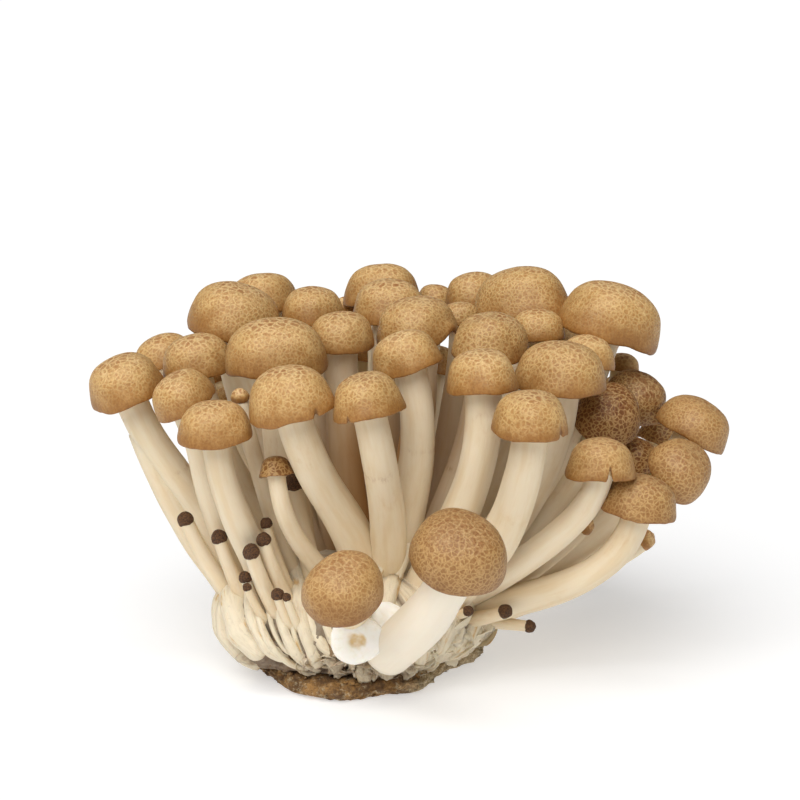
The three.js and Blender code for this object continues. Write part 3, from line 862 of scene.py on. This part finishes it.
def makeClump():
    outline = throughPoints(clump["outline"], clump["stepsPerPoint"])
    bm = turned(outline, clump["sides"])
    low = bm.verts.layers.float.new("low")
    pitShade = bm.verts.layers.float.new("pitShade")
    grain = bm.verts.layers.float_vector.new("grain")
    for v in bm.verts:
        angle, reach = polar(v.co)
        height = v.co.z
        x = clump["centre"][0] + v.co.x * clump["reach"][0] * clumpLean(angle)
        y = clump["centre"][1] + v.co.y * clump["reach"][1] * clumpLean(angle)
        z = clump["bottom"] + height * clump["height"]
        side = smooth(0.4, 0.8, reach)
        twist = angle + 0.03 * z * math.cos(angle)
        fold = noise.noise(Vector((math.cos(twist) * 6, math.sin(twist) * 6, z * 0.05)))
        ridge = 1 - 2.4 * abs(fold)
        spot = Vector((x, y, z))
        knob = noise.noise(spot * 0.16 + Vector((3, 7, 1)))
        crumple = noise.noise(spot * 0.42 + 0.8 * noise.noise_vector(spot * 0.25))
        crumple = 1 - 2.5 * abs(crumple)
        front = frontShare(angle) * smooth(13, 8, z + 3 * noise.noise(spot * 0.12))
        push = clump["folds"] * ridge + clump["knobs"] * knob + front * clump["wrinkles"] * crumple
        push += clump["grain"] * noise.noise(spot * 1.1)
        v[low] = front
        # painted shade: dark in the valleys between folds, in the crumples at the front and between the
        # strands at the left front
        between = smooth(-2.75, -2.45, angle) * smooth(-1.5, -1.8, angle) * 0.75
        v[pitShade] = max(smooth(0.15, -0.35, ridge) * 0.8, front * smooth(0.1, -0.5, crumple), between) * side
        v[grain] = Vector((math.cos(twist) * 26, math.sin(twist) * 26, z))
        v.co = spot + outward(angle) * push * side
    bmesh.ops.recalc_face_normals(bm, faces=bm.faces)
    finishPiece("clump", bm, [clumpSkin], "stems_and_clump")


print("clump")
makeClump()


# stalks that never grew a cap, pressed against the clump's side

# at the front: (x, z) along the stalk from its tip down, its radius and how far it stands out
frontStalks = [
    ([(-29.5, 23), (-28.6, 18), (-26.5, 13.5), (-22.5, 10)], 3.4, 0.6),
    ([(-26, 25), (-25.3, 20), (-23.9, 15.5), (-21.2, 11.5), (-17.5, 9)], 1.6, 2.2),
    ([(-24.4, 21.5), (-22.7, 16.4), (-20.6, 12.2), (-17.2, 8.2), (-13.2, 6)], 0.85, 2.6),
    ([(-22.6, 23), (-21, 18), (-19.6, 14.2), (-17.6, 11.2), (-14.5, 9.6)], 0.65, 1.4),
    ([(-19.6, 24), (-18.6, 18.4), (-17, 13.8), (-14.6, 9.4), (-10.8, 5.6)], 1.1, 2.2),
    ([(-17.6, 24), (-16.2, 17), (-14.9, 12.2), (-13.2, 8.6), (-11, 6)], 0.6, 1.6),
    ([(-16.2, 27), (-14.6, 19.5), (-13, 14), (-11.6, 10), (-10.6, 7.5)], 1.5, 1.4),
    ([(-14, 23), (-12.2, 17), (-9.8, 12.5), (-7, 9.5)], 1.2, 0.2),
    ([(-11, 22), (-8.5, 16), (-6, 11.5)], 1.3, 0),
    ([(3.5, 31), (1.2, 25), (-1, 19)], 2.6, -1),
    ([(8, 32), (5.4, 25.5), (3, 19)], 2.4, -1),
    ([(29, 22), (22, 19), (17, 14), (14.5, 9)], 1.9, 0.4),
    ([(30, 18.5), (24.5, 16), (20.5, 11), (18, 6.5)], 2.2, 0),
    ([(20, 22.5), (16, 18), (12, 12.5), (10.5, 7)], 1.9, 0.6),
    ([(24, 13), (21.5, 9.5), (17, 6.5)], 1.6, 0.6),
]
# at the sides and the back, angles in radians about the clump
fans = [
    {"count": 2, "foot": (-2.75, -2.5), "tip": (-2.95, -2.7), "heights": (16, 21), "radii": (1.8, 2.6)},
    {"count": 22, "foot": (-0.2, 3.5), "tip": (-0.2, 3.5), "heights": (14, 23), "radii": (1.2, 2.3)},
]
strand = {"sides": 16, "rows": 28, "flat": 0.8, "footHeight": (3.2, 6.5), "proud": 0.5, "tuck": -3.5,
          "leaves": 24.3,  # the height at which a long one rises clear of the clump
          "frontGrooves": 0.12, "fanGrooves": 0.08}


def onFront(x, z, proud):
    # the point on the front of the clump at x and z, found by turning about the clump
    angle = -math.pi / 2
    for i in range(8):
        angle -= (clumpSide(angle, z, proud).x - x) / (clump["reach"][0] * max(0.35, -math.sin(angle)))
        angle = min(-0.15, max(-2.99, angle))
    return clumpSide(angle, z, proud)


def makeFrontStalk(stalk, number):
    points, radius, proud = stalk
    line = throughPoints(points[::-1], 9)
    last = len(line) - 1
    centres = []
    for i, (x, z) in enumerate(line):
        t = i / last
        lift = proud * smooth(-0.1, 0.3, t) + strand["tuck"] * 0.5 * smooth(0.8, 1.0, t)
        above = Vector((0, 0, max(0, z - strand["leaves"])))
        centres.append(onFront(x, min(z, clump["bottom"] + clump["height"]), lift) + above)

    def radiusAt(t, angle):
        uneven = 1 + 0.26 * noise.noise(Vector((number * 2.3, t * 4, 0)))
        return radius * uneven * smooth(-0.3, 0.15, t) * (1.1 - 0.2 * t)

    seed = number * 1.3 + 30
    grooves = strand["frontGrooves"]
    return bentTube(centres, radiusAt, strand["sides"], seed, grooves, radius * 0.4, flat=strand["flat"])


def makeFanStalk(fan, share, seed):
    footAngle = fan["foot"][0] + (fan["foot"][1] - fan["foot"][0]) * share
    tipAngle = fan["tip"][0] + (fan["tip"][1] - fan["tip"][0]) * share + draw.uniform(-0.04, 0.04)
    footHeight = draw.uniform(*strand["footHeight"])
    tipHeight = draw.uniform(*fan["heights"])
    thick = draw.uniform(*fan["radii"])
    proud = strand["proud"] + draw.uniform(-0.4, 0.6)
    sway = draw.uniform(-0.05, 0.05)
    centres = []
    for k in range(strand["rows"] + 1):
        t = k / strand["rows"]
        angle = footAngle + (tipAngle - footAngle) * (1 - (1 - t) ** 1.7) + sway * math.sin(math.pi * t)
        lift = proud * math.sin(math.pi * min(1, 0.12 + t)) + strand["tuck"] * smooth(0.8, 1.0, t)
        centres.append(clumpSide(angle, footHeight + (tipHeight - footHeight) * t, lift))

    def radiusAt(t, angle):
        uneven = 0.25 * noise.noise(Vector((seed, t * 4, 0)))
        return thick * (1.1 - 0.3 * t + uneven) * smooth(-0.25, 0.08, t)

    grooves = strand["fanGrooves"]
    return bentTube(centres, radiusAt, strand["sides"], seed, grooves, thick * 0.5, flat=strand["flat"])


def makeStalks():
    meshes = [makeFrontStalk(stalk, i) for i, stalk in enumerate(frontStalks)]
    for fan in fans:
        for i in range(fan["count"]):
            share = (i + draw.uniform(0.2, 0.8)) / fan["count"]
            seed = len(meshes) * 1.3 + 60
            meshes.append(makeFanStalk(fan, share, seed))
    finishPiece("stalks", joined(meshes), [strandSkin], "stems_and_clump")


print("stalks")
makeStalks()


# dried skin of dead pins, crumpled round the foot

curl = {
    "count": 108,
    "frontShare": 4,  # of every six curls, this many lie at the front and one at the right
    "frontAngles": (-1.98, -0.95),
    "frontHeights": (3.6, 9.5),
    "rightAngles": (-0.95, -0.1),
    "rightHeights": (4.5, 15),
    "otherHeights": (3.4, 6.5),
    "lowest": 2.9,
    "length": (3.5, 8),
    "width": (0.8, 1.9),
    "bend": (1.5, 5),
    "lift": (0.3, 2.2),
    "thickness": 0.16,
    "grooves": 0.35,
    "tip": 0.1,
    "sides": 10,
    "rows": 18,
}


def markFair(mesh):
    # "fair" is 1 at the clump's right side, where the skin is white and ochre
    fair = mesh.attributes.new("fair", "FLOAT", "POINT")
    for i, v in enumerate(mesh.vertices):
        fair.data[i].value = smooth(7, 13, v.co.x)
    return mesh


def makeCurls():
    meshes = []
    for i in range(curl["count"]):
        front = i % 6 < curl["frontShare"]
        right = i % 6 == curl["frontShare"]
        angle = draw.uniform(*(curl["frontAngles"] if front else (-math.pi, math.pi)))
        z = draw.uniform(*curl["frontHeights" if front else "otherHeights"])
        if right:
            angle = draw.uniform(*curl["rightAngles"])
            z = draw.uniform(*curl["rightHeights"])
        length = draw.uniform(*curl["length"])
        width = draw.uniform(*curl["width"])
        heading = draw.uniform(-0.5, math.pi + 0.5)
        bendAngle = draw.choice((-1, 1)) * draw.uniform(*curl["bend"])
        lift = draw.uniform(*curl["lift"])
        across, height = 0.0, z
        centres = []
        for k in range(curl["rows"] + 1):
            t = k / curl["rows"]
            proud = 0.3 + lift * math.sin(math.pi * t)
            centres.append(clumpSide(angle + across / 26, max(curl["lowest"], height), proud))
            course = heading + bendAngle * (t - 0.5)
            across += math.cos(course) * length / curl["rows"]
            height += math.sin(course) * length / curl["rows"]

        def radiusAt(t, angle, width=width, i=i):
            ragged = 1 + 0.5 * noise.noise(Vector((i * 3.1, t * 6, math.cos(angle))))
            return width * ragged * math.sin(math.pi * (0.08 + 0.84 * t)) ** 0.6

        flat = curl["thickness"] / width
        tube = bentTube(centres, radiusAt, curl["sides"], 200 + i, curl["grooves"], curl["tip"], flat=flat)
        meshes.append(markFair(tube))
    finishPiece("dried_skin", joined(meshes), [driedSkin], "stems_and_clump")


print("dried skin")
makeCurls()


# pins: thin stalks with a small cap; the cap's middle, its radius, the stalk's foot and the cap's skin

pins = [
    [(-39.4, -16, 36.4), 1.7, (-25, -14, 13), "dark"],
    [(-31.9, -21, 33.8), 1.6, (-23, -17, 13), "dark"],
    [(-24.5, -31, 33.4), 1.7, (-15, -21, 10), "dark"],
    [(-22, -29, 35.5), 1.5, (-12, -20, 10), "dark"],
    [(-26, -28, 27), 1.3, (-18, -20, 9), "dark"],
    [(-25.5, -30, 25.4), 0.9, (-17, -21, 9), "dark"],
    [(-21.6, -25, 37.9), 1.2, (-12, -17, 11), "dark"],
    [(-19, -32, 24.5), 1.3, (-12, -22, 8), "dark"],
    [(-17.1, -33.2, 24.2), 0.9, (-11, -22, 8), "dark"],
    [(-16, -20, 45.5), 2, (-9, -15, 14), "dark"],
    [(29, -23, 18), 1.5, (16, -15, 13), "dark"],
    [(34.5, -18, 13), 1.3, (20, -12, 13), "dark"],
    [(21, -26, 19), 1.1, (15, -17, 15), "dark"],
    [(-26.9, -22, 64.5), 1.8, (-12, -12, 14), "tan"],
    [(46.3, -14, 34.5), 2, (14, -8, 11), "tan"],
    [(59.8, -10, 30.2), 2.2, (14, -10, 9), "tan"],
    [(-6.5, 42, 72.3), 2.6, (-3, 22, 20), "tan"],
    [(-20, 29, 24), 1.5, (-12, 19, 10), "dark"],
    [(30, 22, 27), 1.5, (18, 13, 12), "dark"],
]
pin = {
    "outline": [(0, 0.8), (0.4, 0.74), (0.75, 0.5), (0.95, 0.15), (1, -0.2), (0.9, -0.5), (0.6, -0.62),
                (0, -0.6)],
    "stepsPerPoint": 2,
    "sides": 28,
    "stalkSides": 16,
    "stretch": 1.12,
    "overStalk": 1.06,
    "rows": 26,
}


def makePins():
    stalkMeshes = []
    capMeshes = {"dark": [], "tan": []}
    for i, (at, radius, foot, skin) in enumerate(pins):
        centres = pinLine(at, foot, pin["rows"])

        def radiusAt(t, angle, radius=radius):
            return radius * (1.3 - 0.42 * t + 0.06 * noise.noise(Vector((i * 3.3, 0, t * 5))))

        stalkMeshes.append(bentTube(centres, radiusAt, pin["stalkSides"], 120 + i, 0.04))
        axis = (centres[-1] - centres[-3]).normalized()
        turn = Vector((0, 0, 1)).rotation_difference(axis)
        bm = turned(throughPoints(pin["outline"], pin["stepsPerPoint"]), pin["sides"])
        crown = bm.verts.layers.float.new("crown")
        for v in bm.verts:
            v[crown] = smooth(1, -0.7, v.co.z)
            dent = noise.noise(v.co * 1.7 + Vector((i * 4, 0, 0)))
            v.co *= 1 + 0.12 * dent + 0.05 * noise.noise(v.co * 5)
            v.co.z *= pin["stretch"]
            v.co = Vector(at) + turn @ (v.co * radius * pin["overStalk"])
        capMeshes[skin].append(asMesh(bm))
    finishPiece("pin_stalks", joined(stalkMeshes), [stemSkin], "stems_and_clump")
    finishPiece("pin_caps", joined(capMeshes["dark"]), [pinSkin], "stems_and_clump")
    finishPiece("small_caps", joined(capMeshes["tan"]), [capSkin], "stems_and_clump")


print("pins")
makePins()


# stumps where a mushroom was cut off

stumps = [
    {"at": (-2.5, -37, 16), "faces": (-0.1, -1, 0.12), "radius": 5.4, "length": 18, "hollow": 0.45},
    {"at": (4.5, -34, 19.5), "faces": (0.2, -0.75, 0.65), "radius": 4.2, "length": 15, "hollow": 0},
]
cut = {"edge": 0.7, "stepsPerPoint": 5, "sides": 64}  # the edge is how far the cut is rounded


def makeStumps():
    meshes = []
    for i, stump in enumerate(stumps):
        radius = stump["radius"]
        edge = cut["edge"]
        outline = [(radius * 0.95, -stump["length"]), (radius, -stump["length"] / 2), (radius, -edge * 1.5),
                   (radius - 0.3 * edge, -edge * 0.5), (radius - edge, -0.05), (radius * 0.6, 0.15),
                   (radius * 0.35, 0.1), (radius * 0.15, -0.1), (0, -0.15)]
        outline = throughPoints(outline, cut["stepsPerPoint"])
        bm = turned([(0, -stump["length"])] + outline, cut["sides"])
        hollow = bm.verts.layers.float.new("hollow")
        turn = Vector((0, 0, 1)).rotation_difference(Vector(stump["faces"]).normalized())
        for v in bm.verts:
            angle, reach = polar(v.co)
            oval = 1 + 0.06 * math.cos(2 * angle + i) + 0.04 * math.cos(3 * angle)
            spot = v.co + Vector((i * 9, 0, 0))
            inHollow = stump["hollow"] * smooth(0.42, 0.2, reach / radius + 0.12 * noise.noise(spot * 0.9))
            if v.co.z > -2:
                v[hollow] = inHollow * 2
                v.co.z += 0.35 * noise.noise(spot * 0.35) - 0.8 * inHollow
            v.co.x *= oval
            v.co.y *= oval
            v.co += v.co.normalized() * 0.15 * noise.noise(spot * 0.8)
            v.co = Vector(stump["at"]) + turn @ v.co
        meshes.append(asMesh(bm))
    finishPiece("stumps", joined(meshes), [cutFace], "stems_and_clump")


print("stumps")
makeStumps()


# crust of sawdust

crust = {
    "foot": (20, 22.5),
    "edge": (24.5, 28.5),
    "thickness": 4.2,
    "sides": 240,
    "outline": [(0, 0), (0.5, 0), (0.86, 0), (0.95, 0.04), (1.0, 0.22), (1.01, 0.5), (0.98, 0.8), (0.88, 1),
                (0.5, 1), (0, 1)],
    "stepsPerPoint": 5,
    "roughness": ((0.5, 1.3), (1.4, 0.8), (3, 0.3)),  # scale and size of each layer of unevenness
    "crumbs": 640,
    "crumbSizes": (0.25, 0.95),
}


def crustEdge(angle):
    broken = 1 + 0.04 * math.cos(3 * angle) + 0.03 * math.cos(7 * angle + 1) + 0.02 * math.cos(11 * angle)
    leftBulge = 0.07 * math.exp(-((angle + 2.3) / 0.55) ** 2)
    rightInset = 0.2 * math.exp(-((angle + 0.5) / 0.5) ** 2)
    return broken + leftBulge - rightInset


def makeCrust():
    width, depth = crust["edge"]
    bm = turned(throughPoints(crust["outline"], crust["stepsPerPoint"]), crust["sides"])
    faded = bm.verts.layers.float.new("faded")
    for v in bm.verts:
        angle, reach = polar(v.co)
        v[faded] = smooth(-1.35, -1.0, angle) * smooth(0.5, 0.1, angle)
        share = 1 + (crustEdge(angle) - 1) * smooth(0.6, 0.95, reach)
        spot = Vector((v.co.x * width * share, v.co.y * depth * share, v.co.z * crust["thickness"]))
        rough = sum(noise.noise(spot * scale) * size for scale, size in crust["roughness"])
        spot += outward(angle) * rough * smooth(0.75, 0.9, reach)
        spot.z = max(0, spot.z + (rough * 0.5 if spot.z > 0.3 else 0))
        v.co = spot
    meshes = [asMesh(bm)]
    for i in range(crust["crumbs"]):
        angle = draw.uniform(-math.pi, math.pi)
        size = draw.uniform(*crust["crumbSizes"])
        height = draw.uniform(size * 0.9, crust["thickness"])
        lip = smooth(0, 0.5, height / crust["thickness"]) * 0.1 + 0.86
        reach = crustEdge(angle) * lip
        crumb = bmesh.new()
        bmesh.ops.create_icosphere(crumb, subdivisions=1, radius=size)
        bmesh.ops.scale(crumb, vec=(1, draw.uniform(0.5, 1), draw.uniform(0.4, 0.9)), verts=crumb.verts)
        spin = Matrix.Rotation(draw.uniform(0, 6.3), 3, "Z")
        place = (math.cos(angle) * width * reach, math.sin(angle) * depth * reach, height)
        bmesh.ops.rotate(crumb, cent=(0, 0, 0), matrix=spin, verts=crumb.verts)
        bmesh.ops.translate(crumb, vec=place, verts=crumb.verts)
        meshes.append(asMesh(crumb))
    finishPiece("crust", joined(meshes), [crustSkin], "sawdust_crust")


print("crust")
makeCrust()
